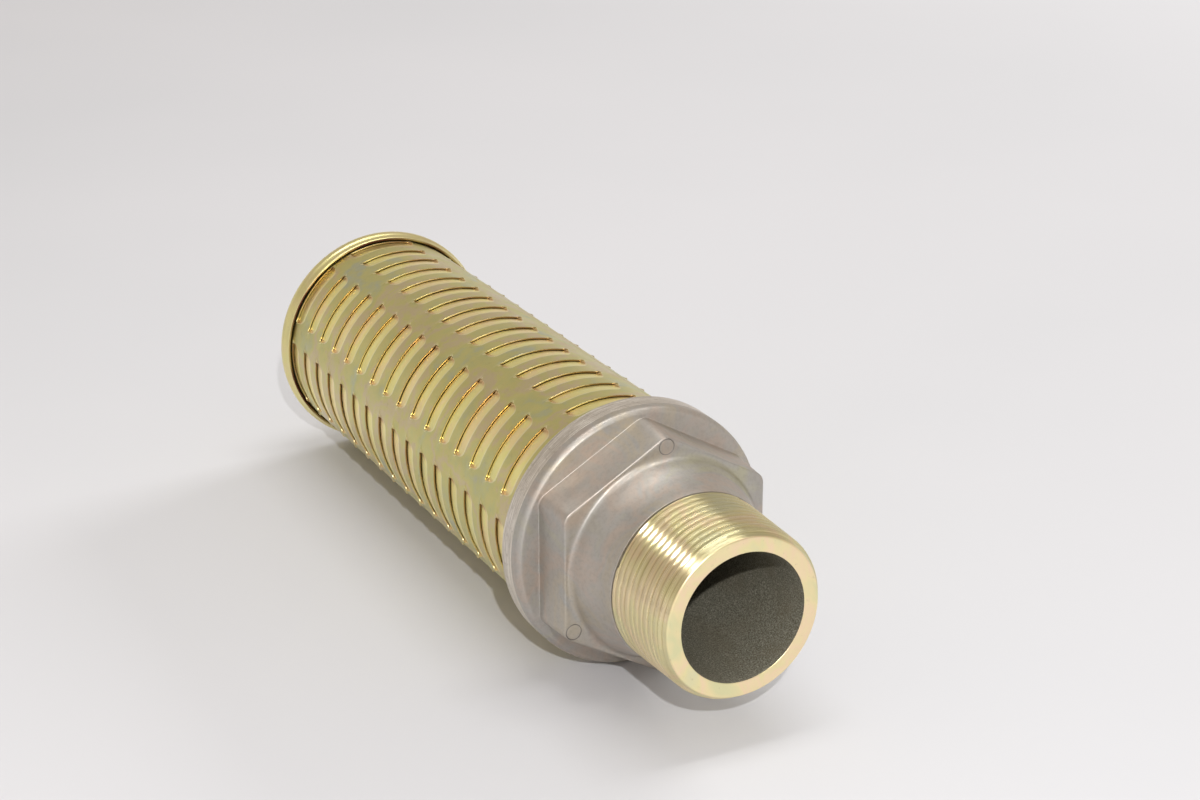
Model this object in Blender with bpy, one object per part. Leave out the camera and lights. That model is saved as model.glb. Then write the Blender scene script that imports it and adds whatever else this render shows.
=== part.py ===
"""Pneumatic exhaust muffler, R 1 1/2, lying on its side.

Blender 4.5, metres, +Z up.  The part's axis is the world X axis and the pipe thread
points to +X.  Every object is one separate piece of the real assembly.

All driving dimensions are in millimetres.  Axial positions are depths "d" measured
from the front face of the nipple towards the end cap, so x = X_FRONT - d.
Angles round the axis are measured from +Z towards +Y.
"""
import math

import bmesh
import bpy

# ------------------------------------------------------------------ overall
LENGTH = 236.0                 # front face of the nipple to the crown of the end cap
X_FRONT = LENGTH / 2.0         # the origin is half way along, on the axis
GAP = 0.3                      # clearance kept between pieces that touch

# ------------------------------------------------------------------ pipe nipple, R 1 1/2
BORE_R = 18.0                  # gas passage, 36 mm
THREAD_PITCH = 2.309           # 11 threads per inch
THREAD_R0 = 23.5               # crest radius at the front face
THREAD_TAPER = 1.0 / 32.0      # radius gained per length, 1 in 16 on diameter
THREAD_DEPTH = 1.2             # crests and roots are flattened
THREAD_START = 1.5
THREAD_END = 25.0
SPIGOT_R = 22.6                # plain part held inside the casting
NIPPLE_END = 56.7
THREAD_SEG = 32

# ------------------------------------------------------------------ adapter casting
NECK_FRONT = 25.4
HEX_FRONT = 40.4
HEX_BASE = 53.6
HEX_AF = 60.0                  # across flats at the front
HEX_DRAFT = 0.7                # growth of the apothem down to the base
FLANGE_R = 37.4
FLANGE_FRONT = 57.1
FLANGE_REAR = 63.1
GROOVE_DEPTH = 5.3             # annular groove that holds the guard tube
GROOVE_IN = 32.1
GROOVE_OUT = 33.6
CAST_REAR = 67.3
CHAMBER_R = 29.0
CHAMBER_FLOOR = 59.0
LIP_R = 18.6                   # stop for the nipple and inner edge of the gasket seat

# ------------------------------------------------------------------ guard tube
TUBE_R = 33.2
TUBE_T = 0.7
TUBE_FRONT = 58.1
TUBE_REAR = 233.2
LOUVRE_COLUMNS = 7
LOUVRE_ROWS = 16
LOUVRE_PITCH = 10.22
LOUVRE_FIRST = 75.9            # depth of the first slit
LOUVRE_WIDTH = 5.0             # slit to hinge
LOUVRE_DROP = 1.2              # how far the slit edge is pressed in
LOUVRE_SLIT = 0.3              # axial opening of the sheared slit
LOUVRE_ARC = 37.4              # degrees
COLUMN_PITCH = 49.2            # degrees
COLUMN_LAST = -2.5             # centre of the last column; the wide seam strip follows it
LOUVRE_U = (0.0, 0.15, 0.5, 0.85, 1.0)
LOUVRE_SHAPE = (0.0, 0.78, 1.0, 0.78, 0.0)

# ------------------------------------------------------------------ end cap
CAP_SKIRT_R = 33.5             # inside of the skirt
CAP_BEAD_R = 35.5
CAP_MOUTH = 229.4

# ------------------------------------------------------------------ silencing pack
CORE_IN = 19.5
CORE_T = 1.0
GAUZE_T = 0.5                  # both layers of woven wire
SLEEVE_OUT = 25.9
CUP_WALL = 0.9
PACK_FRONT = 61.1
PACK_REAR = 228.9
ROUND_SEG = 48
INNER_SEG = 32


def x_of(d):
    return (X_FRONT - d) / 1000.0


def point(d, r, deg):
    """World point at depth d, radius r and angle deg from +Z towards +Y."""
    a = math.radians(deg)
    return (x_of(d), r * math.sin(a) / 1000.0, r * math.cos(a) / 1000.0)


def material(name, rgb, rough, metal):
    m = bpy.data.materials.new(name)
    m.use_nodes = True
    b = m.node_tree.nodes["Principled BSDF"]
    b.inputs["Base Color"].default_value = (*rgb, 1.0)
    b.inputs["Roughness"].default_value = rough
    b.inputs["Metallic"].default_value = metal
    m.diffuse_color = (*rgb, 1.0)
    return m


def finish(name, bm, mat, sharp=32.0):
    """Weld, orient and shade a bmesh, then link it as one object."""
    bmesh.ops.remove_doubles(bm, verts=bm.verts, dist=1e-6)
    bmesh.ops.dissolve_degenerate(bm, edges=bm.edges, dist=1e-7)
    bmesh.ops.recalc_face_normals(bm, faces=bm.faces)
    for f in bm.faces:
        f.smooth = True
    for e in bm.edges:
        e.smooth = len(e.link_faces) == 2 and e.calc_face_angle(0.0) < math.radians(sharp)
    mesh = bpy.data.meshes.new(name)
    bm.to_mesh(mesh)
    bm.free()
    mesh.materials.append(mat)
    obj = bpy.data.objects.new(name, mesh)
    bpy.context.collection.objects.link(obj)
    return obj


def even_angles(n):
    """n angles with a flat facet centred at the bottom."""
    return [360.0 * (i + 0.5) / n for i in range(n)]


def ring(bm, d, radii, angles):
    return [bm.verts.new(point(d, r, a)) for r, a in zip(radii, angles)]


def bridge(bm, a, b):
    n = len(a)
    for i in range(n):
        j = (i + 1) % n
        bm.faces.new((a[i], a[j], b[j], b[i]))


def revolve(bm, profile, angles, closed=True):
    """Turn a list of (d, r) about the axis; r = 0 closes the end with a fan."""
    rings = []
    for d, r in profile:
        if r == 0.0:
            rings.append([bm.verts.new((x_of(d), 0.0, 0.0))])
        else:
            rings.append(ring(bm, d, [r] * len(angles), angles))
    pairs = list(zip(rings, rings[1:]))
    if closed:
        pairs.append((rings[-1], rings[0]))
    for a, b in pairs:
        if len(a) == 1 and len(b) == 1:
            continue
        if len(a) == 1 or len(b) == 1:
            tip, rim = (a[0], b) if len(a) == 1 else (b[0], a)
            for i in range(len(rim)):
                bm.faces.new((tip, rim[i], rim[(i + 1) % len(rim)]))
        else:
            bridge(bm, a, b)
    return rings


def turned(name, profile, n, mat, closed=True):
    bm = bmesh.new()
    revolve(bm, profile, even_angles(n), closed)
    return finish(name, bm, mat)


# ------------------------------------------------------------------ pipe nipple
def thread_patch(bm, n):
    """Helical taper thread between two plain rings of n points."""
    angles = even_angles(n)
    turns = int(math.ceil((THREAD_END - THREAD_START) / THREAD_PITCH)) + 2
    steps = ((0.0, 0.0), (0.34, 0.0), (0.67, 1.0))      # crest, crest, root
    rows = []
    for k in range(turns):
        for frac, depth in steps:
            rows.append((k + frac, depth))
    grid = []
    for i in range(n + 1):
        line = []
        for turn, depth in rows:
            d = THREAD_START + (turn - 1.0 + i / n) * THREAD_PITCH
            crest = THREAD_R0 + THREAD_TAPER * d
            r = crest - THREAD_DEPTH * depth
            if d <= THREAD_START:
                d, r = THREAD_START, THREAD_R0 - THREAD_DEPTH * 0.6
            elif d >= THREAD_END:
                d, r = THREAD_END, THREAD_R0 + THREAD_TAPER * THREAD_END - THREAD_DEPTH
            line.append(bm.verts.new(point(d, r, angles[i % n])))
        grid.append(line)
    for i in range(n):
        for j in range(len(rows) - 1):
            quad = (grid[i][j], grid[i + 1][j], grid[i + 1][j + 1], grid[i][j + 1])
            bm.faces.new(quad)


def build_nipple(mat):
    n = THREAD_SEG
    bm = bmesh.new()
    front_r = THREAD_R0 - THREAD_DEPTH * 0.6
    rear_r = THREAD_R0 + THREAD_TAPER * THREAD_END - THREAD_DEPTH
    profile = [
        (THREAD_END, rear_r),
        (THREAD_END, SPIGOT_R),
        (NIPPLE_END - 0.8, SPIGOT_R),
        (NIPPLE_END, SPIGOT_R - 0.8),
        (NIPPLE_END, BORE_R + 0.5),
        (NIPPLE_END - 0.5, BORE_R),
        (0.4, BORE_R),
        (0.0, BORE_R + 0.35),
        (0.0, front_r - 0.9),
        (THREAD_START - 0.5, front_r),
        (THREAD_START, front_r),
    ]
    revolve(bm, profile, even_angles(n), closed=False)
    thread_patch(bm, n)
    return finish("pipe_nipple", bm, mat)


# ------------------------------------------------------------------ adapter casting
def hex_angles():
    """Angles dense at the six rounded corners; a corner points straight up."""
    part = (1.9, 6.0, 14.0, 24.0, 36.0, 46.0, 54.0, 58.1)
    return [60.0 * k + a for k in range(6) for a in part]


def hex_radius(deg, apothem):
    a = (deg % 60.0) - 30.0
    return apothem / math.cos(math.radians(a))


def build_casting(mat):
    angles = hex_angles()
    n = len(angles)
    bm = bmesh.new()
    rings = []

    def plain(d, r):
        rings.append(ring(bm, d, [r] * n, angles))

    def hexed(d, apothem, low=0.0, high=1e9):
        radii = [min(max(hex_radius(a, apothem), low), high) for a in angles]
        rings.append(ring(bm, d, radii, angles))

    half = HEX_AF / 2.0
    plain(NECK_FRONT, SPIGOT_R + GAP)
    plain(NECK_FRONT, 24.1)
    plain(NECK_FRONT + 0.6, 24.6)
    plain(29.5, 24.9)
    plain(33.2, 25.9)
    plain(36.6, 27.2)
    plain(39.3, 28.2)
    plain(HEX_FRONT, 29.0)
    hexed(HEX_FRONT, half - 0.5)
    hexed(HEX_FRONT + 0.6, half)
    hexed(HEX_BASE, half + HEX_DRAFT)
    hexed(HEX_BASE + 0.5, half + HEX_DRAFT + 0.7, low=32.6, high=35.3)
    plain(HEX_BASE + 0.2, 35.7)
    plain(HEX_BASE + 0.7, 36.5)
    plain(HEX_BASE + 1.8, 37.15)
    plain(FLANGE_FRONT, FLANGE_R)
    plain(FLANGE_REAR - 0.6, FLANGE_R)
    plain(FLANGE_REAR, FLANGE_R - 0.6)
    plain(FLANGE_REAR, GROOVE_OUT)
    plain(FLANGE_REAR - GROOVE_DEPTH, GROOVE_OUT)
    plain(FLANGE_REAR - GROOVE_DEPTH, GROOVE_IN)
    plain(CAST_REAR - 0.5, GROOVE_IN)
    plain(CAST_REAR, GROOVE_IN - 0.5)
    plain(CAST_REAR, CHAMBER_R)
    plain(CHAMBER_FLOOR, CHAMBER_R)
    plain(CHAMBER_FLOOR, LIP_R)
    plain(NIPPLE_END + GAP, LIP_R)
    plain(NIPPLE_END + GAP, SPIGOT_R + GAP)
    for a, b in zip(rings, rings[1:] + rings[:1]):
        bridge(bm, a, b)
    return finish("adapter_casting", bm, mat, sharp=40.0)


# ------------------------------------------------------------------ louvred guard
def guard_columns():
    """(angle, column, u index) for every line along the tube, in order."""
    first = COLUMN_LAST - COLUMN_PITCH * (LOUVRE_COLUMNS - 1)
    cols = []
    for k in range(LOUVRE_COLUMNS):
        start = first + COLUMN_PITCH * k - LOUVRE_ARC / 2.0
        for j, u in enumerate(LOUVRE_U):
            cols.append((start + LOUVRE_ARC * u, k, j))
    seam = 360.0 - COLUMN_PITCH * (LOUVRE_COLUMNS - 1) - LOUVRE_ARC
    end = cols[-1][0]
    cols.append((end + seam / 2.0, -1, 0))
    return cols


def build_guard(mat):
    bm = bmesh.new()
    cols = guard_columns()
    n = len(cols)
    louvre_end = len(LOUVRE_U) - 1
    skins = (TUBE_R, TUBE_R - TUBE_T)

    def full_row(d):
        return [[bm.verts.new(point(d, r, a)) for a, _, _ in cols] for r in skins]

    def lip_row(d, upper):
        """Pressed-in edge of every louvre; ends share the full row's points."""
        out = []
        for s, r in enumerate(skins):
            line = []
            for i, (a, k, j) in enumerate(cols):
                drop = LOUVRE_DROP * LOUVRE_SHAPE[j] if k >= 0 else 0.0
                if drop == 0.0:
                    line.append(upper[s][i])
                else:
                    line.append(bm.verts.new(point(d - LOUVRE_SLIT, r - drop, a)))
            out.append(line)
        return out

    def skin_faces(a, b):
        for s in range(2):
            for i in range(n):
                j = (i + 1) % n
                bm.faces.new((a[s][i], a[s][j], b[s][j], b[s][i]))

    def edge_faces(row, only_louvres):
        for i in range(n):
            if only_louvres and (cols[i][1] < 0 or cols[i][2] == louvre_end):
                continue
            j = (i + 1) % n
            bm.faces.new((row[0][i], row[0][j], row[1][j], row[1][i]))

    last = full_row(TUBE_FRONT)
    edge_faces(last, False)
    for i in range(LOUVRE_ROWS):
        slit = LOUVRE_FIRST + LOUVRE_PITCH * i
        hinge = full_row(slit - LOUVRE_WIDTH)
        skin_faces(last, hinge)
        upper = full_row(slit)
        lower = lip_row(slit, upper)
        skin_faces(hinge, lower)
        edge_faces(upper, True)
        edge_faces(lower, True)
        last = upper
    rear = full_row(TUBE_REAR)
    skin_faces(last, rear)
    edge_faces(rear, False)
    return finish("guard_tube", bm, mat, sharp=30.0)


# ------------------------------------------------------------------ end cap
def build_cap(mat):
    profile = [
        (233.5, 0.0), (233.5, 22.6), (234.3, 25.9), (235.6, 28.7),
        (LENGTH, 31.0), (235.6, 33.2), (234.6, 34.7), (233.4, CAP_BEAD_R),
        (232.2, CAP_BEAD_R), (231.1, 34.9), (230.2, 34.7), (CAP_MOUTH, 34.2),
        (CAP_MOUTH, 33.7), (CAP_MOUTH + 0.5, CAP_SKIRT_R), (233.5, CAP_SKIRT_R),
        (234.5, 32.6), (234.8, 31.0), (234.4, 29.3), (233.2, 26.7),
        (232.3, 23.2), (232.3, 0.0),
    ]
    return turned("end_cap", profile, ROUND_SEG, mat, closed=False)


# ------------------------------------------------------------------ silencing pack
def build_core(mat):
    """Steel tube with staggered square-cut windows."""
    n, windows = 16, 5
    front, rear = PACK_FRONT + 1.3, PACK_REAR - 1.3
    margin, bar = 12.0, 14.0
    width = (rear - front - 2 * margin - bar * (windows - 1)) / windows
    depths = [front]
    for w in range(windows):
        start = front + margin + w * (width + bar)
        depths += [start, start + width]
    depths.append(rear)
    bm = bmesh.new()
    angles = even_angles(n)
    skins = (CORE_IN + CORE_T, CORE_IN)
    grid = [[ring(bm, d, [r] * n, angles) for d in depths] for r in skins]

    def is_open(row, col):
        if row < 0 or row >= len(depths) - 1:
            return False
        return row % 2 == 1 and col % 2 == (row // 2) % 2

    for row in range(len(depths) - 1):
        for c in range(n):
            e = (c + 1) % n
            if not is_open(row, c):
                for s in range(2):
                    g = grid[s]
                    bm.faces.new((g[row][c], g[row][e], g[row + 1][e], g[row + 1][c]))
                continue
            corners = ((row, c), (row, e), (row + 1, e), (row + 1, c))
            for (r0, c0), (r1, c1) in zip(corners, corners[1:] + corners[:1]):
                bm.faces.new((grid[0][r0][c0], grid[0][r1][c1],
                              grid[1][r1][c1], grid[1][r0][c0]))
    bridge(bm, grid[0][0], grid[1][0])
    bridge(bm, grid[0][-1], grid[1][-1])
    return finish("core_tube", bm, mat)


def build_sleeve(name, r_in, r_out, front, rear, mat):
    profile = [(front, r_in), (front, r_out), (rear, r_out), (rear, r_in)]
    return turned(name, profile, INNER_SEG, mat)


def build_cups(mat):
    """Pressed steel cups that centre and close the two ends of the pack."""
    inner = CORE_IN - GAP
    outer = SLEEVE_OUT + 2 * GAP + GAUZE_T + CUP_WALL + GAP
    f, r, wall = PACK_FRONT, PACK_REAR, CUP_WALL
    front = [(f, inner - wall), (f, outer), (f + 6.0, outer), (f + 6.0, outer - wall),
             (f + wall, outer - wall), (f + wall, inner), (f + 6.0, inner),
             (f + 6.0, inner - wall)]
    turned("front_cup", front, INNER_SEG, mat)
    rear = [(r, 0.0), (r, outer), (r - 6.0, outer), (r - 6.0, outer - wall),
            (r - wall, outer - wall), (r - wall, inner), (r - 6.0, inner),
            (r - 6.0, inner - wall), (r - wall, inner - wall), (r - wall, 0.0)]
    turned("rear_cup", rear, INNER_SEG, mat, closed=False)


def build_all():
    zinc_gold = material("gold_zinc_steel", (0.62, 0.52, 0.30), 0.28, 1.0)
    guard_zinc = material("guard_zinc_steel", (0.43, 0.40, 0.25), 0.33, 1.0)
    cap_zinc = material("cap_zinc_steel", (0.46, 0.43, 0.27), 0.30, 1.0)
    cast = material("cast_aluminium", (0.46, 0.43, 0.41), 0.42, 0.9)
    steel = material("core_steel", (0.42, 0.42, 0.42), 0.40, 1.0)
    cup = material("cup_steel", (0.48, 0.47, 0.45), 0.35, 1.0)
    felt = material("fibre_felt", (0.30, 0.29, 0.27), 0.95, 0.0)
    gauze = material("wire_gauze", (0.38, 0.38, 0.37), 0.45, 1.0)
    seal = material("seal_fibre", (0.16, 0.20, 0.19), 0.80, 0.0)
    pad = material("pad_rubber", (0.03, 0.03, 0.03), 0.70, 0.0)

    build_nipple(zinc_gold)
    build_casting(cast)
    build_guard(guard_zinc)
    build_cap(cap_zinc)
    build_core(steel)
    front, rear = PACK_FRONT + CUP_WALL + GAP, PACK_REAR - CUP_WALL - GAP
    core_out = CORE_IN + CORE_T + GAP
    build_sleeve("inner_gauze", core_out, core_out + GAUZE_T, front, rear, gauze)
    felt_in = core_out + GAUZE_T + GAP
    build_sleeve("sound_sleeve", felt_in, SLEEVE_OUT, front, rear, felt)
    gauze_in = SLEEVE_OUT + GAP
    build_sleeve("outer_gauze", gauze_in, gauze_in + GAUZE_T, front, rear, gauze)
    build_cups(cup)
    build_sleeve("front_gasket", LIP_R + 0.6, CHAMBER_R - 0.4,
                 CHAMBER_FLOOR + GAP, PACK_FRONT - GAP, seal)
    build_sleeve("rear_pad", 6.0, 22.0, PACK_REAR + GAP, 232.3 - GAP, pad)


for old in list(bpy.data.objects):
    bpy.data.objects.remove(old, do_unlink=True)
build_all()
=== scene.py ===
"""Looks for the pneumatic muffler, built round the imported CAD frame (metres, +Z up).

The axis is the world X axis with the pipe thread at +X.  Sizes below are in millimetres
unless a comment says otherwise, "d" is the depth measured from the front face of the
nipple towards the end cap, and angles run round the axis from +Z towards +Y, in degrees,
as in the CAD part.  Lights and camera are in metres.
"""
import math

import bmesh
import bpy
import numpy as np
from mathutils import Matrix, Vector


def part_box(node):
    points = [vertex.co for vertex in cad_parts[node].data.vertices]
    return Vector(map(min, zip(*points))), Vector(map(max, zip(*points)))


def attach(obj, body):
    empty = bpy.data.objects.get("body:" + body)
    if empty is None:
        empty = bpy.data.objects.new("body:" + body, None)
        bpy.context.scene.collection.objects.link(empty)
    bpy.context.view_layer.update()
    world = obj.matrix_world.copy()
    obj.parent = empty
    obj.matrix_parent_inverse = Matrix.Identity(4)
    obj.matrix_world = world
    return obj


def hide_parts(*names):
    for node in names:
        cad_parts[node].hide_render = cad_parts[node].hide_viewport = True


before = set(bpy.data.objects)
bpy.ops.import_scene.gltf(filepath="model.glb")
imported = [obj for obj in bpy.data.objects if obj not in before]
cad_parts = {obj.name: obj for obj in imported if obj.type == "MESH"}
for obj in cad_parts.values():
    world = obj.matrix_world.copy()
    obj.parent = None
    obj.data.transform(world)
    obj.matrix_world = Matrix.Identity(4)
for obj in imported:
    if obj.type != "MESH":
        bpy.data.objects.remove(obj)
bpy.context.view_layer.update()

MM = 1000.0                                  # millimetres in a metre
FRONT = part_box("pipe_nipple")[1].x * MM      # x of the nipple's front face

# pipe nipple
BORE_R = 18.0
SPIGOT_R, SPIGOT_END = 22.6, 56.7
PITCH = 2.309
CREST_R = 23.5                               # thread crest at the front face
TAPER = 1.0 / 32.0                           # growth of the radius with depth
THREAD_START, THREAD_END = 1.7, 25.0
THREAD_DEEP = 0.95
# share of a pitch, share of the thread's depth: flat crest, flank, flat root, flank
THREAD_FORM = ((0.00, 0.03), (0.03, 0.0), (0.28, 0.0), (0.52, 0.0), (0.55, 0.03), (0.575, 0.16),
               (0.67, 0.93), (0.70, 1.0), (0.76, 1.0), (0.79, 0.93), (0.955, 0.16))

# adapter casting
HEX_FRONT, HEX_BACK = 40.4, 53.7
HEX_FLAT = 30.0                              # centre to flat, at the front
HEX_CORNER_R = 3.6
FLANGE_R = 37.4
FLANGE_FRONT, FLANGE_BACK = 57.3, 63.1       # of the flange's turned rim
FLANGE_D = 60.0                              # where the flange stands on the floor
MARK_AT_R, MARK_R, MARK_WIRE = 31.7, 2.2, 0.15      # ejector marks

# guard tube
TUBE_R, TUBE_T = 33.2, 0.32
TUBE_START, TUBE_END = 58.1, 233.2
COLUMNS, ROWS = 7, 16
ROW_PITCH, ROW_FIRST = 10.22, 75.9           # depths of the slits
ARC, COL_PITCH, COL_LAST = 37.4, 49.2, -2.5  # a louvre's angle, its step, the last column
PLAIN_ARC = 360.0 - COL_PITCH * (COLUMNS - 1) - ARC    # the wide strip with the seam
ANGLE_START = COL_LAST - COL_PITCH * (COLUMNS - 1) - ARC / 2.0
LOUVRE_MM = math.radians(ARC) * TUBE_R
DEGREE_MM = math.radians(TUBE_R)             # length of one degree round the tube
PRESS_W, PRESS_D = 5.6, 0.58                 # pressed strip: width and depth at the slit

# end cap
BEAD_R, BEAD_D = 35.45, 232.8                # the bead stands on the floor at its middle


# ------------------------------------------------------------------ mesh helpers
def place(d, r, deg):
    """Arrays of depth, radius and angle to points in metres."""
    d, r, deg = np.broadcast_arrays(d, r, deg)
    a = np.radians(deg)
    return np.stack([FRONT - d, r * np.sin(a), r * np.cos(a)], -1) / MM


def new_object(name, verts, faces, sharp=34.0, attrs=None, slot_of=None):
    """Smooth mesh with edges sharp above an angle; slot_of(d, r) is a face's material slot."""
    mesh = bpy.data.meshes.new(name)
    mesh.from_pydata(np.asarray(verts).reshape(-1, 3).tolist(), [], faces)
    for key, values in (attrs or {}).items():
        layer = mesh.attributes.new(key, "FLOAT", "POINT")
        layer.data.foreach_set("value", np.asarray(values, np.float32).ravel())
    bm = bmesh.new()
    bm.from_mesh(mesh)
    bmesh.ops.remove_doubles(bm, verts=bm.verts, dist=1e-7)
    bmesh.ops.dissolve_degenerate(bm, edges=bm.edges, dist=1e-8)
    bmesh.ops.recalc_face_normals(bm, faces=bm.faces)
    limit = math.radians(sharp)
    for face in bm.faces:
        face.smooth = True
        if slot_of is not None:
            c = face.calc_center_median() * MM
            face.material_index = int(slot_of(FRONT - c.x, math.hypot(c.y, c.z)))
    for edge in bm.edges:
        edge.smooth = len(edge.link_faces) == 2 and edge.calc_face_angle(0.0) < limit
    bm.to_mesh(mesh)
    bm.free()
    obj = bpy.data.objects.new(name, mesh)
    bpy.context.scene.collection.objects.link(obj)
    return obj


def soften(points, steps):
    """Round the corners of an open outline of (d, r, w) or (d, r, w, corner radius)."""
    most = 0.48                              # share of either side that a corner may take
    out = []
    last = len(points) - 1
    for i, point in enumerate(points):
        corner = np.array(point[:3], float)
        radius = point[3] if len(point) > 3 else 0.0
        if i in (0, last) or radius <= 0.0:
            out.append(corner)
            continue
        before = np.array(points[i - 1][:3], float)
        after = np.array(points[i + 1][:3], float)
        length_in = np.linalg.norm(before[:2] - corner[:2])
        length_out = np.linalg.norm(after[:2] - corner[:2])
        cut = min(radius, most * length_in, most * length_out)
        start = corner + (before - corner) * cut / length_in
        end = corner + (after - corner) * cut / length_out
        for t in np.linspace(0.0, 1.0, steps + 1):
            out.append((1 - t) ** 2 * start + 2 * t * (1 - t) * corner + t * t * end)
    return out


def quads(a, b, closed=True):
    """Quads between two rows of point numbers; a closed row runs on to its first point."""
    n = len(a)
    return [(a[i], a[(i + 1) % n], b[(i + 1) % n], b[i]) for i in range(n if closed else n - 1)]


def grid_quads(first, rows, width, closed=True):
    """Quads between neighbouring rows of one grid of points, numbered from first."""
    faces = []
    for start in range(first, first + (rows - 1) * width, width):
        faces += quads(range(start, start + width), range(start + width, start + 2 * width), closed)
    return faces


def lathe(name, profile, angles, sharp, closed=True, outline=None, slot_of=None):
    """Turn a profile of (d, r, w); w blends from round (0) to the outline (1)."""
    rows = []
    for d, r, w in profile:
        radii = np.full(len(angles), r)
        if outline is not None and w > 0.0:
            radii = (1 - w) * r + w * outline(angles, r)
        rows.append(place(d, radii, angles))
    width = len(angles)
    last = (len(rows) - 1) * width
    faces = grid_quads(0, len(rows), width)
    if closed:
        faces += quads(range(last, last + width), range(width))
    else:
        faces += [tuple(range(width)), tuple(range(last, last + width))]
    return new_object(name, np.concatenate(rows), faces, sharp, slot_of=slot_of)


# ------------------------------------------------------------------ node helpers
def fill_ramp(node, stops):
    """Give a colour ramp its stops of (position, colour)."""
    elements = node.color_ramp.elements
    while len(elements) < len(stops):
        elements.new(0.5)
    for element, (position, colour) in zip(elements, stops):
        element.position = position
        element.color = (*colour, 1.0)


class Graph:
    """A small wrapper for writing shader node trees; its lengths are in metres."""

    def __init__(self, name):
        self.mat = bpy.data.materials.new(name)
        self.mat.use_nodes = True
        self.nt = self.mat.node_tree
        self.bsdf = self.nt.nodes["Principled BSDF"]
        self.coord = self.nt.nodes.new("ShaderNodeTexCoord").outputs["Object"]

    def node(self, kind, inputs=None, **props):
        n = self.nt.nodes.new("ShaderNode" + kind)
        for key, value in props.items():
            setattr(n, key, value)
        for key, value in (inputs or {}).items():
            self.put(n.inputs[key], value)
        return n

    def put(self, socket, value):
        """Link a socket to another node, or set its constant."""
        if isinstance(value, bpy.types.NodeSocket):
            self.nt.links.new(value, socket)
        else:
            socket.default_value = value

    def put_colour(self, socket, value):
        self.put(socket, value if isinstance(value, bpy.types.NodeSocket) else (*value, 1.0))

    def stretch(self, sx, sy, sz):
        """Object coordinates scaled along each axis, for noise drawn out into lines."""
        return self.node("Mapping", {"Vector": self.coord, "Scale": (sx, sy, sz)}).outputs[0]

    def noise(self, scale, detail=4.0, rough=0.55, vector=None, distort=0.0):
        n = self.node("TexNoise", {"Vector": vector or self.coord, "Scale": scale,
                                   "Detail": detail, "Roughness": rough,
                                   "Distortion": distort})
        return n.outputs["Fac"]

    def math(self, op, a, b=0.0):
        n = self.node("Math", operation=op)
        self.put(n.inputs[0], a)
        self.put(n.inputs[1], b)
        return n.outputs[0]

    def times(self, a, b):
        return self.math("MULTIPLY", a, b)

    def span(self, value, lo, hi, a=0.0, b=1.0):
        """Smooth step that takes lo..hi to a..b."""
        n = self.node("MapRange", {"Value": value, "From Min": lo, "From Max": hi,
                                   "To Min": a, "To Max": b}, interpolation_type="SMOOTHSTEP")
        return n.outputs[0]

    def ramp(self, fac, stops):
        n = self.node("ValToRGB", {"Fac": fac})
        fill_ramp(n, stops)
        return n.outputs[0]

    def mix(self, fac, a, b):
        n = self.node("Mix", data_type="RGBA")
        self.put(n.inputs[0], fac)
        self.put_colour(n.inputs[6], a)
        self.put_colour(n.inputs[7], b)
        return n.outputs[2]

    def attr(self, name):
        return self.node("Attribute", attribute_name=name).outputs["Fac"]

    def around_axis(self):
        """Tangent that runs round the muffler's axis, for turned surfaces."""
        return self.node("Tangent", direction_type="RADIAL", axis="X").outputs[0]

    def bump(self, height, strength, distance, normal=None):
        n = self.node("Bump", {"Height": height, "Strength": strength, "Distance": distance})
        if normal is not None:
            self.put(n.inputs["Normal"], normal)
        return n.outputs[0]

    def set(self, **values):
        """Set the surface's inputs, by names with _ for a space; gives the material."""
        for key, value in values.items():
            self.put(self.bsdf.inputs[key.replace("_", " ")], value)
        return self.mat


def scaled(colour, factor):
    """A colour made darker or lighter, but never above 1."""
    return tuple(min(1.0, c * factor) for c in colour)


# ------------------------------------------------------------------ materials
def pressed_colours(g, tone, base):
    """Pressed strips painted paler as a reflection, a painted highlight on the fold, painted shade
    at their ends, and sheared edges painted brown as shade and pale as a highlight.
    """
    # pressed strips painted paler than the plain sheet: a painted reflection of their tilt
    strip = g.ramp(tone, [(0.36, (0.88, 0.83, 0.36)), (0.46, (0.92, 0.81, 0.31)),
                          (0.52, (0.94, 0.76, 0.38)), (0.60, (0.90, 0.83, 0.33))])
    pressed = g.attr("press")
    base = g.mix(g.times(pressed, 0.92), base, strip)
    # painted highlight along the fold where the strip starts to sink
    fold_highlight = g.times(g.times(pressed, g.math("SUBTRACT", 1.0, pressed)), 2.4)
    base = g.mix(fold_highlight, base, (0.98, 0.92, 0.60))
    # reddish-brown painted shade at the pressed strip's ends
    base = g.mix(g.times(g.attr("tip_shade"), 0.7), base, (0.60, 0.34, 0.18))
    # sheared edge painted brown as shade towards a louvre's end and pale cream as a highlight where
    # it starts
    cut = g.mix(g.attr("edge_lit_share"), (0.34, 0.20, 0.09), (0.80, 0.66, 0.34))
    return g.mix(g.times(g.attr("edge"), 0.9), base, cut)


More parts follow.
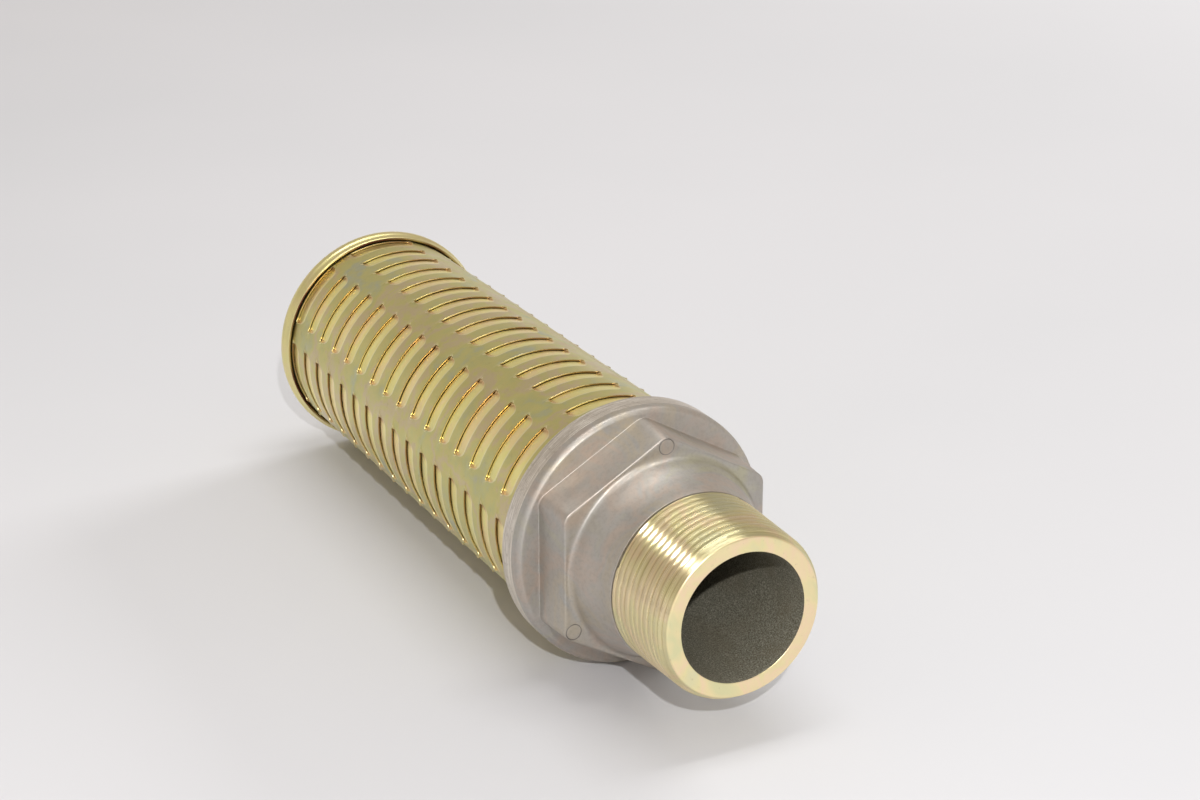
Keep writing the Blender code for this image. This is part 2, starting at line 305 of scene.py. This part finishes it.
def passivated(name, press=False, gold=0.0):
    """Yellow-chromated zinc plate: gold base with faint pink and grey-green clouds."""
    g = Graph(name)
    clouds = g.noise(42.0, detail=3.0, rough=0.5, distort=0.7)
    small = g.noise(190.0, detail=4.0, rough=0.6)
    tone = g.math("ADD", g.times(clouds, 0.72), g.times(small, 0.28))
    base = g.ramp(tone, [(0.34, (0.52, 0.53, 0.36)), (0.41, (0.60, 0.57, 0.24)),
                         (0.46, (0.64, 0.58, 0.23)), (0.51, (0.64, 0.53, 0.32)),
                         (0.56, (0.63, 0.57, 0.23)), (0.62, (0.57, 0.55, 0.25)),
                         (0.70, (0.52, 0.51, 0.36))])
    if press:
        base = pressed_colours(g, tone, base)
    if gold:
        base = g.mix(gold, base, (0.90, 0.80, 0.40))
    grime = g.span(g.noise(420.0, detail=3.0, rough=0.7), 0.58, 0.72)
    base = g.mix(g.times(grime, 0.12), base, (0.24, 0.19, 0.10))
    rough = g.span(g.noise(90.0, detail=4.0, rough=0.6), 0.3, 0.7, 0.30, 0.42)
    fine = g.noise(1500.0, detail=3.0, rough=0.6)
    wavy = g.noise(60.0, detail=2.0, rough=0.5)
    normal = g.bump(fine, 0.5, 0.00001, g.bump(wavy, 0.5, 0.0002))
    return g.set(Base_Color=base, Metallic=1.0, Roughness=rough, Normal=normal)


def shaded_groove():
    """Narrow groove of the cap painted dark reddish-brown as shade, in patches of painted
    reflection.
    """
    g = Graph("cap_groove_painted_shade")
    patches = g.noise(70.0, detail=2.0, rough=0.5)
    base = g.ramp(patches, [(0.40, (0.12, 0.045, 0.03)), (0.50, (0.30, 0.19, 0.08)),
                            (0.62, (0.52, 0.42, 0.18))])
    return g.set(Base_Color=base, Metallic=1.0, Roughness=0.42,
                 Normal=g.bump(patches, 0.4, 0.0002))


def turned_zinc():
    """Turned thread under gold-coloured zinc: fine rings, pink and green hints, and roots darkened
    as painted shade.
    """
    g = Graph("nipple_gold_zinc")
    clouds = g.noise(45.0, detail=3.0, rough=0.55, distort=0.5)
    gold = g.ramp(clouds, [(0.32, (0.70, 0.66, 0.40)), (0.43, (0.78, 0.70, 0.39)),
                           (0.50, (0.82, 0.67, 0.43)), (0.56, (0.78, 0.70, 0.40)),
                           (0.68, (0.68, 0.65, 0.42))])
    lines = g.noise(3.0, detail=3.0, rough=0.7, vector=g.stretch(800.0, 6.0, 6.0))
    cuts = g.noise(3.0, detail=2.0, rough=0.6, vector=g.stretch(2600.0, 0.6, 0.6))
    gold = g.mix(g.span(lines, 0.42, 0.75, 0.0, 0.30), gold, (0.46, 0.36, 0.18))
    # thread roots darkened brown: painted shade in the grooves
    gold = g.mix(g.span(g.attr("root"), 0.25, 1.0, 0.0, 0.75), gold, (0.22, 0.16, 0.07))
    return g.set(Base_Color=gold, Metallic=1.0, Roughness=g.span(lines, 0.3, 0.8, 0.27, 0.31),
                 Normal=g.bump(cuts, 1.0, 0.00008),
                 Anisotropic=1.0, Anisotropic_Rotation=0.25, Tangent=g.around_axis())


def faced_zinc():
    """Flat front face of the nipple: the same gold zinc without the turned grain, painted lighter
    than on the thread as a painted highlight.
    """
    g = Graph("nipple_face_zinc")
    clouds = g.noise(60.0, detail=3.0, rough=0.55, distort=0.5)
    # lighter gold than the thread's: painted highlight on the face
    base = g.ramp(clouds, [(0.34, (0.80, 0.76, 0.44)), (0.44, (0.93, 0.80, 0.46)),
                           (0.51, (0.96, 0.76, 0.50)), (0.58, (0.90, 0.80, 0.44)),
                           (0.68, (0.80, 0.77, 0.50))])
    nicks = g.noise(500.0, detail=3.0, rough=0.7)
    base = g.mix(g.span(nicks, 0.60, 0.75, 0.0, 0.25), base, (0.42, 0.33, 0.18))
    ripple = g.noise(260.0, detail=3.0, rough=0.6)
    return g.set(Base_Color=base, Metallic=1.0, Roughness=g.span(clouds, 0.3, 0.7, 0.30, 0.38),
                 Normal=g.bump(ripple, 0.5, 0.00004))


def bore_steel():
    """Dull, grainy grey-green inside of the pipe."""
    g = Graph("nipple_bore")
    grain = g.noise(2400.0, detail=3.0, rough=0.8)
    specks = g.noise(3300.0, detail=2.0, rough=0.6)
    blotch = g.noise(110.0, detail=3.0, rough=0.5)
    dark = g.ramp(grain, [(0.34, (0.08, 0.072, 0.048)), (0.5, (0.17, 0.16, 0.118)),
                          (0.64, (0.32, 0.305, 0.24))])
    dark = g.mix(g.span(specks, 0.60, 0.68, 0.0, 0.6), dark, (0.55, 0.54, 0.45))
    dark = g.mix(g.span(blotch, 0.4, 0.7, 0.0, 0.4), dark, (0.17, 0.145, 0.095))
    return g.set(Base_Color=dark, Metallic=0.15, Roughness=0.75,
                 Normal=g.bump(grain, 0.8, 0.00015))


def cast_metal():
    """Die-cast aluminium with a satin skin and faint grey, brown and olive tarnish."""
    g = Graph("adapter_cast_aluminium")
    clouds = g.noise(42.0, detail=4.0, rough=0.6, distort=0.8)
    base = g.ramp(clouds, [(0.28, (0.43, 0.43, 0.43)), (0.38, (0.50, 0.45, 0.37)),
                           (0.45, (0.47, 0.44, 0.40)), (0.52, (0.51, 0.44, 0.38)),
                           (0.60, (0.46, 0.44, 0.41)), (0.70, (0.50, 0.48, 0.37))])
    grain = g.noise(900.0, detail=5.0, rough=0.7)
    base = g.mix(g.span(grain, 0.45, 0.66, 0.0, 0.20), base, (0.26, 0.23, 0.20))
    rough = g.span(g.noise(160.0, detail=4.0, rough=0.6), 0.3, 0.7, 0.44, 0.58)
    waves = g.noise(150.0, detail=3.0, rough=0.5)
    skin = g.math("ADD", grain, g.times(waves, 2.0))
    return g.set(Base_Color=base, Metallic=0.95, Roughness=rough,
                 Normal=g.bump(skin, 0.6, 0.00009))


def machined_rim():
    """Brushed band where the flange rim is turned clean."""
    g = Graph("adapter_machined_rim")
    streaks = g.noise(3.0, detail=4.0, rough=0.75, vector=g.stretch(900.0, 40.0, 40.0))
    flecks = g.noise(620.0, detail=3.0, rough=0.75)
    base = g.ramp(streaks, [(0.35, (0.50, 0.45, 0.38)), (0.5, (0.66, 0.60, 0.52)),
                            (0.65, (0.88, 0.83, 0.75))])
    base = g.mix(g.span(flecks, 0.55, 0.68, 0.0, 0.5), base, (0.42, 0.37, 0.30))
    normal = g.bump(streaks, 0.8, 0.00010, g.bump(flecks, 0.9, 0.00022))
    return g.set(Base_Color=base, Metallic=1.0, Roughness=g.span(streaks, 0.3, 0.8, 0.28, 0.42),
                 Normal=normal,
                 Anisotropic=0.6, Anisotropic_Rotation=0.25, Tangent=g.around_axis())


def plain_steel(name, colour, scale, rough):
    """Bare sheet steel with soft darker clouds."""
    g = Graph(name)
    clouds = g.noise(scale, detail=5.0, rough=0.6)
    base = g.ramp(clouds, [(0.32, scaled(colour, 0.72)), (0.62, colour)])
    return g.set(Base_Color=base, Metallic=0.95,
                 Roughness=g.span(clouds, 0.3, 0.7, rough, rough + 0.15),
                 Normal=g.bump(clouds, 0.2, 0.0003))


def woven_wire(name):
    """Wires that cross round and along the axis, with the gaps between them painted near-black as
    shade.
    """
    g = Graph(name)
    round_rate, along_rate = 120.0, 4800.0   # a wire every pi / rate, in radians and metres
    xyz = g.node("SeparateXYZ", {"Vector": g.coord}).outputs
    turn = g.times(g.math("ARCTAN2", xyz[1], xyz[2]), round_rate)
    along = g.times(xyz[0], along_rate)
    warp = g.math("ABSOLUTE", g.math("SINE", turn))
    weft = g.math("ABSOLUTE", g.math("SINE", along))
    weave = g.math("MAXIMUM", warp, weft)
    # near-black between the wires: painted shade in the gaps
    base = g.ramp(weave, [(0.55, (0.01, 0.01, 0.01)), (0.9, (0.16, 0.15, 0.14))])
    return g.set(Base_Color=base, Metallic=0.8, Roughness=0.5, Normal=g.bump(weave, 0.6, 0.0004))


def felt(name, colour, scale=700.0):
    """Matt fibre or rubber."""
    g = Graph(name)
    fibres = g.noise(scale, detail=6.0, rough=0.75)
    base = g.ramp(fibres, [(0.3, scaled(colour, 0.55)), (0.7, scaled(colour, 1.4))])
    return g.set(Base_Color=base, Roughness=0.92, Normal=g.bump(fibres, 0.7, 0.0006))


def floor_paper():
    """Matt pale backdrop."""
    g = Graph("floor_paper")
    clouds = g.noise(3.0, detail=3.0, rough=0.5)
    base = g.ramp(clouds, [(0.3, (0.605, 0.61, 0.632)), (0.7, (0.635, 0.635, 0.657))])
    return g.set(Base_Color=base, Roughness=0.85,
                 Normal=g.bump(g.noise(900.0, detail=3.0), 0.05, 0.0002))


# ------------------------------------------------------------------ louvred guard
# points along a louvre, as distances from its end up to its middle
END_POINTS = (0.0, 0.08, 0.22, 0.42, 0.68, 1.0, 1.45, 2.0, 2.7, 3.7, 5.2, 7.6)
# points across a plain strip, as shares of its width; the wide one is fine at its seam
STRIP_POINTS = (0.12, 0.37, 0.63, 0.88)
SEAM_POINTS = (0.06, 0.16, 0.27, 0.38, 0.46, 0.485, 0.496, 0.5, 0.504, 0.515,
               0.54, 0.62, 0.73, 0.84, 0.94)
SEAM_DEEP, SEAM_SPREAD = 0.18, 0.22          # spread in degrees

PLAIN_ROWS = (60.0, 64.0, 67.5, 69.5)        # depths of the rows ahead of the louvres
# rows across a pressed strip: distance ahead of its slit
PRESSED_ROWS = (5.9, 5.5, 5.1, 4.7, 4.2, 3.6, 3.0, 2.4, 1.8, 1.3, 0.9, 0.6, 0.35, 0.15)
# rows behind a slit: distance, how far the edge is rolled in, share of the edge's painted shade and
# highlight colour
EDGE_ROWS = ((0.04, 0.035, 0.7), (0.11, 0.010, 0.3))
BAND_ROWS = tuple((t, 0.0, 0.0) for t in (0.25, 0.55, 1.0, 2.4, 3.9))
CURVED_ROWS = 0.9                            # rows closer to the slit follow its hooked ends
LAST_ROW = TUBE_END - 0.3

# lengths called RUN are measured along a louvre from its end
RISE_RUN = 0.8                               # over which the strip reaches its full depth
TAIL_W, TAIL_RUN = 0.10, 2.4                 # share of the full width left at the very end
HOOK, HOOK_RUN = 1.3, 1.5                    # the slit's ends curl towards the nipple
FOLD = 0.13                                  # share of the width that takes on the strip's colour
BURR, BURR_AT, BURR_SPREAD = 0.42, 0.10, 0.70      # height at a slit's end, place, spread
BURR_LONG = 0.6                              # the burr's spread along the axis
END_SHADE_AT, END_SHADE_SPREAD = 0.5, 0.7              # painted shade spot near a louvre's end: place, spread
EDGE_ROLL, SLIT_LEAN = 0.075, 0.10           # upper edge rolled in; lower edge set forward
DEPTH_VARIES, SLIT_VARIES = 0.05, 0.05       # from louvre to louvre: share of the depth; mm


def quarter(x):
    """Quarter-circle rise from 0 to 1 over x = 0..1."""
    x = np.clip(x, 0.0, 1.0)
    return np.sqrt(1.0 - (1.0 - x) ** 2)


def ramp_in(x, bend=0.35):
    """Straight ramp from 0 to 1 whose start is bent over a short length."""
    x = np.clip(x, 0.0, 1.0)
    return np.where(x < bend, x * x / (2 * bend), x - bend / 2) / (1.0 - bend / 2)


def smooth(x):
    """Smooth step from 0 to 1 over x = 0..1."""
    x = np.clip(x, 0.0, 1.0)
    return x * x * (3.0 - 2.0 * x)


def bell(x, middle, spread):
    """Bell curve of height 1."""
    return np.exp(-((x - middle) / spread) ** 2)


def guard_lines():
    """Angle, column (or -1) and distance from the louvre's nearer end, round the tube."""
    half = np.array(END_POINTS)
    along = np.concatenate([half, [LOUVRE_MM / 2], (LOUVRE_MM - half)[::-1]])
    lines = []
    for k in range(COLUMNS):
        start = ANGLE_START + COL_PITCH * k
        lines += [(start + ARC * m / LOUVRE_MM, k, min(m, LOUVRE_MM - m)) for m in along]
        if k < COLUMNS - 1:
            width, shares = COL_PITCH - ARC, STRIP_POINTS
        else:
            width, shares = PLAIN_ARC, SEAM_POINTS
        lines += [(start + ARC + width * share, -1, 0.0) for share in shares]
    return (np.array(column) for column in zip(*lines))


class Guard:
    """Rows of points on both skins of the guard tube, joined into one closed sheet."""

    def __init__(self):
        self.ang, self.col, near = guard_lines()
        self.on = self.col >= 0
        self.open = self.on & (near > 0.0)   # where the slit's two edges part
        self.rise = np.where(self.on, quarter(near / RISE_RUN), 0.0)
        self.reach = PRESS_W * (TAIL_W + (1.0 - TAIL_W) * quarter(near / TAIL_RUN))
        self.hook = np.where(self.on, HOOK * (1.0 - quarter(near / HOOK_RUN)), 0.0)
        seam_at = COL_LAST + ARC / 2.0 + 0.5 * PLAIN_ARC
        self.seam = SEAM_DEEP * bell(self.ang, seam_at, SEAM_SPREAD)
        starts = ANGLE_START + COL_PITCH * np.arange(COLUMNS)
        ends = np.concatenate([starts, starts + ARC])
        gap = np.abs(self.ang[:, None] - ends[None, :]).min(1) * DEGREE_MM
        self.burr = BURR * bell(np.where(self.on, gap, -gap), BURR_AT, BURR_SPREAD)
        # where the ends of the pressed strips get painted shade
        self.end_shade = np.where(self.on, bell(near, END_SHADE_AT, END_SHADE_SPREAD), 0.0)
        centre = COL_LAST - COL_PITCH * (COLUMNS - 1 - self.col)
        along = np.where(self.on, (self.ang - centre) / ARC + 0.5, 0.5)
        self.lower_end = smooth(1.15 - 1.5 * along)    # 1 where a louvre starts, 0 at its end; the sheared edge is painted pale there as a highlight
        self.verts, self.faces = [], []
        self.attrs = {"press": [], "edge": [], "tip_shade": [], "edge_lit_share": []}
        self.count = 0

    def row(self, d, drop=0.0, press=0.0, edge=0.0, keep=None, away=math.inf):
        """One row on both skins; keep = (other row, mask) uses that row's points off the mask.

        drop is how far the row is pressed in, press and edge are colour attributes for the strip's
        painted reflection and the edge's painted shade and highlight, and away is the distance from
        the slit, over which the burrs at its two ends die out.
        """
        burr = self.burr * math.exp(-(away / BURR_LONG) ** 2)
        size = len(self.ang)
        out = []
        for skin, (inset, seam_share) in enumerate(((0.0, 1.0), (TUBE_T, 0.3))):
            r = TUBE_R - inset - drop + burr - self.seam * seam_share
            self.verts.append(place(d, r, self.ang))
            values = {"press": press, "edge": edge, "tip_shade": press * self.end_shade,
                      "edge_lit_share": self.lower_end}
            for key, value in values.items():
                self.attrs[key].append(value * np.ones(size))
            ids = np.arange(size) + self.count
            self.count += size
            out.append(ids if keep is None else np.where(keep[1], ids, keep[0][skin]))
        return out

    def join(self, a, b):
        """Both skins between two rows; gives the second row back."""
        for outer, other in zip(a, b):
            self.faces += quads(outer, other)
        return b

    def rim(self, row, louvres_only=True):
        """Wall through the sheet's thickness, all round or only along the louvres."""
        n = len(self.ang)
        for i, quad in enumerate(quads(*row)):
            j = (i + 1) % n
            if not louvres_only or (self.on[i] and self.on[j] and self.col[i] == self.col[j]):
                self.faces.append(quad)

    def louvre_row(self, last, slit, depth, shift):
        """Pressed strips running up to their sheared slits, and the plain band behind them."""
        line = slit + shift - self.hook
        for t in PRESSED_ROWS:
            x = 1.0 - t / self.reach
            d = line - t * (1.0 - self.hook / PRESSED_ROWS[0])
            drop = depth * self.rise * ramp_in(x)
            last = self.join(last, self.row(d, drop, self.on * smooth(x / FOLD), away=t))
        upper = self.row(line, EDGE_ROLL * self.rise, edge=self.rise, away=0.0)
        lower = self.row(line - SLIT_LEAN * self.rise, depth * self.rise, self.rise,
                         keep=(upper, self.open), away=0.0)
        self.join(last, lower)
        self.rim(upper)
        self.rim(lower)
        last = upper
        for t, roll, edge in EDGE_ROWS + BAND_ROWS:
            if slit + t > LAST_ROW:
                break
            d = t + (line if t < CURVED_ROWS else slit)
            last = self.join(last, self.row(d, roll * self.rise, edge=edge * self.rise, away=t))
        return last


def build_guard():
    rng = np.random.default_rng(7)
    g = Guard()
    last = g.row(TUBE_START)
    g.rim(last, louvres_only=False)
    for d in PLAIN_ROWS:
        last = g.join(last, g.row(d))
    column = np.clip(g.col.astype(int), 0, COLUMNS - 1)
    for i in range(ROWS):
        noise = rng.normal(0.0, 1.0, (2, COLUMNS))[:, column]
        depth = PRESS_D * (1.0 + DEPTH_VARIES * noise[0])
        shift = np.where(g.on, SLIT_VARIES * noise[1] * g.rise, 0.0)
        last = g.louvre_row(last, ROW_FIRST + ROW_PITCH * i, depth, shift)
    last = g.join(last, g.row(TUBE_END))
    g.rim(last, louvres_only=False)
    attrs = {key: np.concatenate(values) for key, values in g.attrs.items()}
    return new_object("guard_skin", np.concatenate(g.verts), g.faces, sharp=38.0, attrs=attrs)


# ------------------------------------------------------------------ pipe nipple
def nipple_slot(d, r):
    """Slot 1 in the bore, 2 on the front face, 0 on the turned outside."""
    face_deep, bore_start, bore_skin = 0.35, 0.15, 0.12
    if d > bore_start and r < BORE_R + bore_skin:
        return 1
    return 2 if d < face_deep else 0


def build_nipple():
    """Helical thread, and a turned skin for the back, the bore, the face and its chamfer."""
    sides = 144
    lead_in, lead_drop = 1.2, 0.72           # the thread grows from a plain start
    chamfer, shoulder, shoulder_drop = 0.75, 0.5, 0.08
    ang = np.arange(sides + 1) * 360.0 / sides
    turns = int(math.ceil((THREAD_END - THREAD_START) / PITCH)) + 2
    front_r = CREST_R - lead_drop
    rear_r = CREST_R + TAPER * THREAD_END - THREAD_DEEP
    rows, root = [], []
    for k in range(turns):
        for share, height in THREAD_FORM:
            d = THREAD_START + (k + share - 1.0 + np.arange(sides + 1) / sides) * PITCH
            crest = CREST_R + TAPER * d
            lead = np.clip((d - THREAD_START) / lead_in, 0.0, 1.0)
            outside = np.minimum(crest, front_r + (crest - front_r) * quarter(lead))
            r = np.where(d >= THREAD_END, rear_r, outside - THREAD_DEEP * height * lead)
            rows.append(place(np.clip(d, THREAD_START, THREAD_END), r, ang))
            # share of painted shade in the thread's root
            root.append(np.where(d >= THREAD_END, 0.0, lead * height))
    faces = grid_quads(0, len(rows), sides + 1, closed=False)
    profile = soften([
        (THREAD_END, rear_r, 0), (THREAD_END, SPIGOT_R, 0),
        (SPIGOT_END, SPIGOT_R, 0, 0.8), (SPIGOT_END, BORE_R, 0, 0.5),
        (0.0, BORE_R, 0, 0.22), (0.0, front_r - chamfer, 0, 0.35),
        (THREAD_START - shoulder, front_r - shoulder_drop, 0, 0.5),
        (THREAD_START, front_r, 0)], steps=4)
    faces += grid_quads(len(rows) * (sides + 1), len(profile), sides + 1, closed=False)
    rows += [place(d, r, ang) for d, r, _ in profile]
    root.append(np.zeros(len(profile) * (sides + 1)))
    return new_object("nipple_threaded", np.concatenate(rows), faces, sharp=48.0,
                      attrs={"root": np.concatenate(root)}, slot_of=nipple_slot)


# ------------------------------------------------------------------ adapter casting
def rounded_hex(deg, flat_r):
    """Polar radius of a hexagon with rounded corners, one corner straight up."""
    half = math.radians(30.0)
    from_corner = np.abs((np.asarray(deg) + 30.0) % 60.0 - 30.0)
    centre = (flat_r - HEX_CORNER_R) / math.cos(half)      # of the corner's arc
    limit = math.degrees(math.atan2(HEX_CORNER_R * math.sin(half),
                                    centre + HEX_CORNER_R * math.cos(half)))
    t = np.radians(from_corner)
    inside = np.maximum(HEX_CORNER_R ** 2 - (centre * np.sin(t)) ** 2, 0.0)
    corner = centre * np.cos(t) + np.sqrt(inside)
    return np.where(from_corner < limit, corner, flat_r / np.cos(half - t))


def hex_angles():
    """Angles for one turn, closer together at the hexagon's six corners."""
    near = 6.0
    side = np.concatenate([np.linspace(0.0, near, 9)[:-1],
                           np.linspace(near, 60.0 - near, 21),
                           np.linspace(60.0 - near, 60.0, 9)[1:-1]])
    return np.concatenate([side + 60.0 * k for k in range(6)])


def adapter_slot(d, r):
    """Slot 1 on the flange's turned rim, 0 on the cast skin."""
    deep, ahead, short = 0.4, 0.1, 0.3       # skin depth; where the turned band starts and stops
    return r > FLANGE_R - deep and FLANGE_FRONT - ahead < d < FLANGE_BACK - short


def build_adapter():
    """Neck, hexagon, flange, the groove that holds the tube, and the pilot inside the tube."""
    neck_front, pilot_end = 25.4, 67.3
    spigot_bore, gas_bore, pilot_bore = 22.9, 18.6, 29.0
    groove_floor, groove_outer, groove_inner = 57.8, 33.6, 32.1
    web_front, web_back = 57.0, 59.0         # the inner rim that the gas passes through
    outline = [
        # the neck swells in an S up to the hexagon's front
        (neck_front, spigot_bore, 0), (neck_front, 24.42, 0, 0.12), (29.5, 24.95, 0, 2.0),
        (33.2, 25.9, 0, 2.0), (36.8, 27.3, 0, 2.0), (39.4, 28.1, 0, 1.2),
        (HEX_FRONT, 28.9, 0, 0.7),
        # hexagon with casting draft, and the fillet at its foot
        (HEX_FRONT, HEX_FLAT, 1, 0.40), (HEX_BACK, HEX_FLAT + 0.75, 1, 0.9),
        (HEX_BACK + 0.05, 31.3, 1),
        # flange: cast shoulder, turned rim, back
        (53.8, 35.4, 0), (53.85, 36.3, 0, 0.5), (54.9, FLANGE_R - 0.05, 0, 0.8),
        (FLANGE_FRONT, FLANGE_R, 0, 0.5), (FLANGE_BACK - 0.2, FLANGE_R, 0, 0.35),
        (FLANGE_BACK, FLANGE_R - 0.6, 0, 0.2), (FLANGE_BACK, groove_outer, 0),
        (groove_floor, groove_outer, 0), (groove_floor, groove_inner, 0),
        # pilot, then back to the neck through the inside
        (pilot_end, groove_inner, 0, 0.5), (pilot_end, pilot_bore, 0, 0.3),
        (web_back, pilot_bore, 0), (web_back, gas_bore, 0, 0.3),
        (web_front, gas_bore, 0, 0.3), (web_front, spigot_bore, 0)]
    return lathe("adapter_cast", soften(outline, steps=5), hex_angles(), sharp=36.0,
                 outline=rounded_hex, slot_of=adapter_slot)


def ejector_mark(name, deg):
    """Thin raised ring that an ejector pin left on the hexagon's front."""
    sink, flatness = 0.04, 0.6               # the ring's middle stands proud of the hexagon
    centre = place(HEX_FRONT - sink, MARK_AT_R, deg) * MM
    around, across = 40, 8
    verts, faces = [], []
    for i in range(around):
        a = 2 * math.pi * i / around
        out = np.array([0.0, math.sin(a), math.cos(a)])
        for j in range(across):
            b = 2 * math.pi * j / across
            rise = np.array([MARK_WIRE * flatness * math.sin(b), 0.0, 0.0])
            verts.append((centre + out * (MARK_R + MARK_WIRE * math.cos(b)) + rise) / MM)
        here, there = i * across, (i + 1) % around * across
        faces += quads(range(here, here + across), range(there, there + across))
    return new_object(name, verts, faces, sharp=80.0)


# ------------------------------------------------------------------ end cap
def cap_slot(d, r):
    """Slot 1 on the skirt that bounds the narrow groove at the tube, 0 elsewhere."""
    inner, outer = 33.0, 34.3
    return inner < r < outer and d < TUBE_END


def build_cap():
    """Dished sheet disc whose rim is rolled over the tube and out into a bead."""
    sides = 192
    pinhole, skirt_r = 0.02, 33.55           # the centre is closed by one small face
    well_in, well_out = 232.35, 233.5
    outline = [
        # inside skin, from the centre outwards
        (well_in, pinhole, 0), (well_in, 23.2, 0, 1.5), (234.75, 29.6, 0, 2.0),
        (234.85, 32.2, 0, 1.2),
        # skirt over the tube and its turned-up lip
        (233.6, skirt_r, 0, 0.8), (229.7, skirt_r, 0, 0.4), (229.3, 34.0, 0, 0.4),
        (229.7, 34.6, 0, 0.5), (231.0, 34.75, 0, 0.6),
        # bead
        (231.9, BEAD_R, 0, 0.9), (233.7, BEAD_R, 0, 1.0), (234.9, 34.5, 0, 1.1),
        # outside skin, back to the centre
        (236.05, 32.6, 0, 1.4), (235.95, 29.6, 0, 2.2), (well_out, 22.8, 0, 1.5),
        (well_out, pinhole, 0)]
    return lathe("cap_rolled", soften(outline, steps=5), np.arange(sides) * 360.0 / sides,
                 sharp=30.0, closed=False, slot_of=cap_slot)


# ------------------------------------------------------------------ assemble
def dress(obj, mats, node, replace=True):
    """Give a piece its materials and its place in the frame."""
    for mat in mats:
        obj.data.materials.append(mat)
    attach(obj, "root")
    if replace:
        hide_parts(node)


def build_pieces():
    cast = [cast_metal(), machined_rim()]
    dress(build_guard(), [passivated("guard_yellow_zinc", press=True)], "guard_tube")
    dress(build_nipple(), [turned_zinc(), bore_steel(), faced_zinc()], "pipe_nipple")
    dress(build_adapter(), cast, "adapter_casting")
    dress(build_cap(), [passivated("cap_yellow_zinc", gold=0.6), shaded_groove()], "end_cap")
    # dark grey on the raised rings is painted shade for the marks' outlines
    edge = plain_steel("ejector_mark_edge", (0.31, 0.29, 0.27), scale=300.0, rough=0.5)
    for i in range(3):
        mark = ejector_mark("ejector_mark_%d" % (i + 1), 120.0 * i)
        dress(mark, [edge], "adapter_casting", replace=False)


def colour_hidden_pieces():
    """The pieces inside keep their CAD shape and only get materials."""
    cup = (0.46, 0.44, 0.40)
    looks = {
        "core_tube": plain_steel("core_steel", (0.42, 0.41, 0.40), scale=260.0, rough=0.38),
        "front_cup": plain_steel("cup_steel_front", cup, scale=220.0, rough=0.34),
        "rear_cup": plain_steel("cup_steel_rear", cup, scale=220.0, rough=0.34),
        "inner_gauze": woven_wire("inner_wire"),
        "outer_gauze": woven_wire("outer_wire"),
        "sound_sleeve": felt("sleeve_felt", (0.30, 0.28, 0.25)),
        "front_gasket": felt("gasket_fibre", (0.12, 0.15, 0.14), scale=500.0),
        "rear_pad": felt("pad_rubber", (0.03, 0.03, 0.03), scale=300.0),
    }
    for name, material in looks.items():
        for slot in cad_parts[name].material_slots:
            slot.material = material


# ------------------------------------------------------------------ stage, light, camera
def build_floor():
    """Large plane just under the flange and the end cap's bead."""
    gap, reach = 0.15, 6000.0
    flange_x, bead_x = FRONT - FLANGE_D, FRONT - BEAD_D
    slope = (FLANGE_R - BEAD_R) / (flange_x - bead_x)
    corners = [(-reach, -reach), (reach, -reach), (reach, reach), (-reach, reach)]
    verts = [(x / MM, y / MM, (-FLANGE_R - slope * (x - flange_x) - gap) / MM)
             for x, y in corners]
    floor = new_object("floor", verts, [(0, 1, 2, 3)])
    floor.data.materials.append(floor_paper())


def aim(name, data, location, target):
    """Put a light or a camera in the scene, pointing at its target."""
    obj = bpy.data.objects.new(name, data)
    obj.location = location
    obj.rotation_euler = (Vector(target) - Vector(location)).to_track_quat("-Z", "Y").to_euler()
    bpy.context.scene.collection.objects.link(obj)
    return obj


def area_light(name, location, target, size, power, glossy=True):
    """Rectangular light; without glossy it brightens the floor and leaves no reflection."""
    data = bpy.data.lights.new(name, "AREA")
    data.shape = "RECTANGLE"
    data.size, data.size_y = size
    data.energy = power
    aim(name, data, location, target).visible_glossy = glossy


def build_room():
    """Dim warm room: brightest at and below the horizon, by the height of the direction."""
    world = bpy.data.worlds.new("studio")
    bpy.context.scene.world = world
    world.use_nodes = True
    nt = world.node_tree
    way = nt.nodes.new("ShaderNodeTexCoord")
    parts = nt.nodes.new("ShaderNodeSeparateXYZ")
    ramp = nt.nodes.new("ShaderNodeValToRGB")
    nt.links.new(way.outputs["Generated"], parts.inputs[0])
    nt.links.new(parts.outputs[2], ramp.inputs[0])
    nt.links.new(ramp.outputs[0], nt.nodes["Background"].inputs["Color"])
    fill_ramp(ramp, ((0.0, (0.86, 0.84, 0.83)), (0.10, (0.86, 0.83, 0.81)),
                     (0.26, (0.62, 0.56, 0.50)), (0.60, (0.52, 0.48, 0.44)),
                     (1.0, (0.58, 0.56, 0.54))))


def build_lights():
    """Small hard flash above the camera, softbox overhead, and a fill for the backdrop."""
    area_light("flash", (0.785, -0.327, 0.509), (0.118, 0.0, 0.0),
               size=(0.016, 0.016), power=4.8)
    area_light("overhead", (0.10, 0.08, 1.35), (0.05, 0.08, 0.0),
               size=(1.1, 0.30), power=6.8)
    area_light("back_fill", (-0.7, 2.1, 1.0), (-0.6, 1.5, 0.0),
               size=(0.9, 0.9), power=32.0, glossy=False)


def build_camera():
    """Long lens close in front of the thread, looking down on the part."""
    cam = bpy.data.cameras.new("camera")
    cam.lens = 71.76
    cam.sensor_width = 36.0
    cam.clip_start = 0.01
    obj = aim("camera", cam, (0.57807, -0.28230, 0.27405), (0.11754, -0.04061, 0.06646))
    bpy.context.scene.camera = obj


build_pieces()
colour_hidden_pieces()
build_floor()
build_room()
build_lights()
build_camera()
bpy.context.scene.view_settings.view_transform = "Standard"
bpy.context.scene.view_settings.look = "None"
